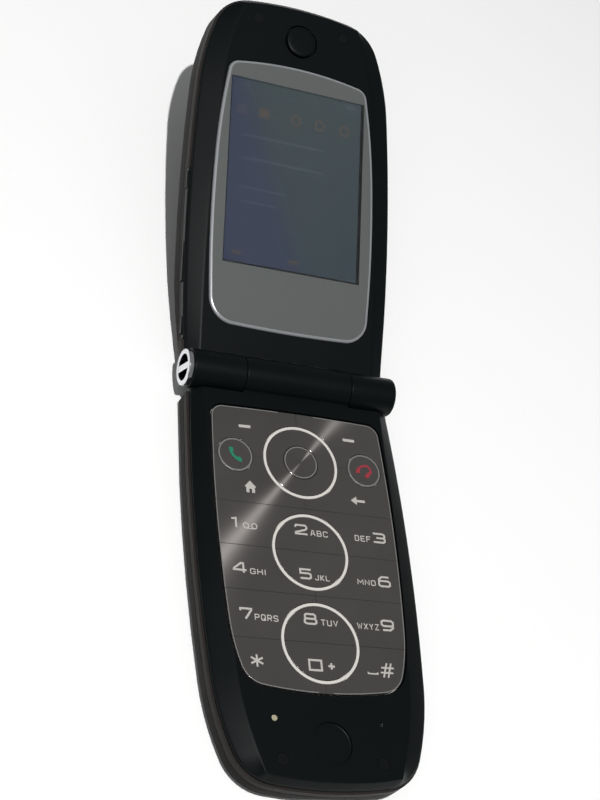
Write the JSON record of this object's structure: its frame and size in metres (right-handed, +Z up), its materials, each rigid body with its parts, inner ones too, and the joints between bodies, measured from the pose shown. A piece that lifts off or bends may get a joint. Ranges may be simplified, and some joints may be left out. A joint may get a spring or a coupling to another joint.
{
  "type": "folding mobile phone",
  "caption": "Slim clamshell mobile phone, open, with a tiled metal keypad, tilting navigation ring, glazed display lid, barrel hinge and sliding battery cover.",
  "frame": {"origin": "on the table, under the centre of the opened phone, with the keypad half lying on its back", "axes": "+X to the user's right, +Y from the keypad end towards the raised lid, +Z up out of the keypad"},
  "size_m": [0.0522, 0.1866, 0.0356],
  "materials": {
    "soft_black": "soft-touch lacquer on moulded plastic",
    "gunmetal": "warm grey metallic paint on moulded plastic",
    "silver_trim": "satin silver paint",
    "key_metal": "radially spun and dark anodised facing",
    "light_guide": "milky moulded light guide",
    "silicone": "translucent silicone",
    "circuit_board": "solder resist",
    "sheet_steel": "plated sheet",
    "hinge_steel": "ground",
    "tungsten": "sintered heavy metal",
    "flex_film": "polyimide film",
    "battery_wrap": "printed wrap",
    "speaker_black": "felted",
    "screw_black": "moulded cover over a steel screw",
    "lens": "clear, printed behind",
    "lcd_black": "dark display glass",
    "window_black": "glossy",
    "polished_chrome": "polished plate"
  },
  "bodies": {
    "keypad_half": {"base_top_shell": "soft_black", "base_trim_band": "silver_trim", "base_rear_case": "gunmetal", "battery": "battery_wrap", "bay_connectors": "sheet_steel", "main_board": "circuit_board", "shield_cans": "sheet_steel", "dome_sheet": "sheet_steel", "key_mat": "silicone", "light_rings": "light_guide", "microphone": "sheet_steel", "loudspeaker": "speaker_black", "status_light_pipe": "light_guide", "usb_socket": "sheet_steel", "vibration_motor": "sheet_steel", "base_screws": "screw_black", "hinge_sleeve": "hinge_steel", "hinge_cam_shaft": "hinge_steel", "hinge_flex": "flex_film"},
    "lid": {"lid_inner_frame": "soft_black", "lid_outer_cover": "gunmetal", "lid_trim_band": "silver_trim", "screen_lens": "lens", "lcd_module": "lcd_black", "lid_board": "circuit_board", "earpiece_disc": "soft_black", "earpiece_speaker": "speaker_black", "lid_screws": "screw_black", "outer_window": "window_black", "outer_display": "lcd_black", "camera_module": "window_black", "strap_ring": "polished_chrome", "hinge_cartridge": "hinge_steel", "hinge_end_cap": "soft_black"},
    "battery_cover": {"battery_cover": "gunmetal"},
    "vibration_weight": {"vibration_weight": "tungsten"},
    "nav_pad": {"nav_pad": "silicone"},
    "nav_ring": {"nav_ring": "key_metal"},
    "soft_key_left": {"soft_key_left": "key_metal"},
    "soft_key_right": {"soft_key_right": "key_metal"},
    "send_key": {"send_key": "key_metal"},
    "end_key": {"end_key": "key_metal"},
    "home_key": {"home_key": "key_metal"},
    "back_key": {"back_key": "key_metal"},
    "key_1": {"key_1": "key_metal"},
    "key_2": {"key_2": "key_metal"},
    "key_3": {"key_3": "key_metal"},
    "key_4": {"key_4": "key_metal"},
    "key_5": {"key_5": "key_metal"},
    "key_6": {"key_6": "key_metal"},
    "key_7": {"key_7": "key_metal"},
    "key_8": {"key_8": "key_metal"},
    "key_9": {"key_9": "key_metal"},
    "key_0": {"key_0": "key_metal"},
    "key_star": {"key_star": "key_metal"},
    "key_hash": {"key_hash": "key_metal"},
    "nav_key": {"nav_key": "key_metal"},
    "volume_rocker": {"volume_rocker": "soft_black"},
    "side_key_upper": {"side_key_upper": "soft_black"},
    "side_key_lower": {"side_key_lower": "soft_black"}
  },
  "joints": [
    {"name": "lid_hinge", "type": "hinge", "parent": "keypad_half", "child": "lid", "pos_m": [0, 0.00117, 0.00765], "axis": [1, 0, 0], "range_deg": [0, 161.6]},
    {"name": "battery_cover_slide", "type": "slide", "parent": "keypad_half", "child": "battery_cover", "axis": [0, -1, 0], "range_m": [0, 0.005]},
    {"name": "vibration_spin", "type": "hinge", "parent": "keypad_half", "child": "vibration_weight", "pos_m": [0.0176, -0.02433, 0.0035], "axis": [0, 1, 0], "continuous": true},
    {"name": "nav_tilt_up_down", "type": "hinge", "parent": "keypad_half", "child": "nav_pad", "pos_m": [0, -0.01988, 0.00795], "axis": [1, 0, 0], "range_deg": [-1, 1], "stiffness_Nm_per_rad": 0.4},
    {"name": "nav_tilt_left_right", "type": "hinge", "parent": "nav_pad", "child": "nav_ring", "pos_m": [0, -0.01988, 0.00795], "axis": [0, 1, 0], "range_deg": [-1, 1], "stiffness_Nm_per_rad": 0.4},
    {"name": "soft_key_left_press", "type": "slide", "parent": "keypad_half", "child": "soft_key_left", "axis": [0, 0, 1], "range_m": [-0.00025, 0], "stiffness_N_per_m": 4000},
    {"name": "soft_key_right_press", "type": "slide", "parent": "keypad_half", "child": "soft_key_right", "axis": [0, 0, 1], "range_m": [-0.00025, 0], "stiffness_N_per_m": 4000},
    {"name": "send_key_press", "type": "slide", "parent": "keypad_half", "child": "send_key", "axis": [0, 0, 1], "range_m": [-0.00025, 0], "stiffness_N_per_m": 4000},
    {"name": "end_key_press", "type": "slide", "parent": "keypad_half", "child": "end_key", "axis": [0, 0, 1], "range_m": [-0.00025, 0], "stiffness_N_per_m": 4000},
    {"name": "home_key_press", "type": "slide", "parent": "keypad_half", "child": "home_key", "axis": [0, 0, 1], "range_m": [-0.00025, 0], "stiffness_N_per_m": 4000},
    {"name": "back_key_press", "type": "slide", "parent": "keypad_half", "child": "back_key", "axis": [0, 0, 1], "range_m": [-0.00025, 0], "stiffness_N_per_m": 4000},
    {"name": "key_1_press", "type": "slide", "parent": "keypad_half", "child": "key_1", "axis": [0, 0, 1], "range_m": [-0.00025, 0], "stiffness_N_per_m": 4000},
    {"name": "key_2_press", "type": "slide", "parent": "keypad_half", "child": "key_2", "axis": [0, 0, 1], "range_m": [-0.00025, 0], "stiffness_N_per_m": 4000},
    {"name": "key_3_press", "type": "slide", "parent": "keypad_half", "child": "key_3", "axis": [0, 0, 1], "range_m": [-0.00025, 0], "stiffness_N_per_m": 4000},
    {"name": "key_4_press", "type": "slide", "parent": "keypad_half", "child": "key_4", "axis": [0, 0, 1], "range_m": [-0.00025, 0], "stiffness_N_per_m": 4000},
    {"name": "key_5_press", "type": "slide", "parent": "keypad_half", "child": "key_5", "axis": [0, 0, 1], "range_m": [-0.00025, 0], "stiffness_N_per_m": 4000},
    {"name": "key_6_press", "type": "slide", "parent": "keypad_half", "child": "key_6", "axis": [0, 0, 1], "range_m": [-0.00025, 0], "stiffness_N_per_m": 4000},
    {"name": "key_7_press", "type": "slide", "parent": "keypad_half", "child": "key_7", "axis": [0, 0, 1], "range_m": [-0.00025, 0], "stiffness_N_per_m": 4000},
    {"name": "key_8_press", "type": "slide", "parent": "keypad_half", "child": "key_8", "axis": [0, 0, 1], "range_m": [-0.00025, 0], "stiffness_N_per_m": 4000},
    {"name": "key_9_press", "type": "slide", "parent": "keypad_half", "child": "key_9", "axis": [0, 0, 1], "range_m": [-0.00025, 0], "stiffness_N_per_m": 4000},
    {"name": "key_0_press", "type": "slide", "parent": "keypad_half", "child": "key_0", "axis": [0, 0, 1], "range_m": [-0.00025, 0], "stiffness_N_per_m": 4000},
    {"name": "key_star_press", "type": "slide", "parent": "keypad_half", "child": "key_star", "axis": [0, 0, 1], "range_m": [-0.00025, 0], "stiffness_N_per_m": 4000},
    {"name": "key_hash_press", "type": "slide", "parent": "keypad_half", "child": "key_hash", "axis": [0, 0, 1], "range_m": [-0.00025, 0], "stiffness_N_per_m": 4000},
    {"name": "nav_key_press", "type": "slide", "parent": "keypad_half", "child": "nav_key", "axis": [0, 0, 1], "range_m": [-0.00025, 0], "stiffness_N_per_m": 4000},
    {"name": "volume_rock", "type": "hinge", "parent": "lid", "child": "volume_rocker", "pos_m": [-0.0246, 0.02694, 0.01159], "axis": [0, -0.3156, 0.9489], "range_deg": [-2, 2], "stiffness_Nm_per_rad": 0.3},
    {"name": "side_key_upper_press", "type": "slide", "parent": "lid", "child": "side_key_upper", "axis": [1, 0, 0], "range_m": [0, 0.0003], "stiffness_N_per_m": 4000},
    {"name": "side_key_lower_press", "type": "slide", "parent": "lid", "child": "side_key_lower", "axis": [1, 0, 0], "range_m": [0, 0.0003], "stiffness_N_per_m": 4000}
  ]
}
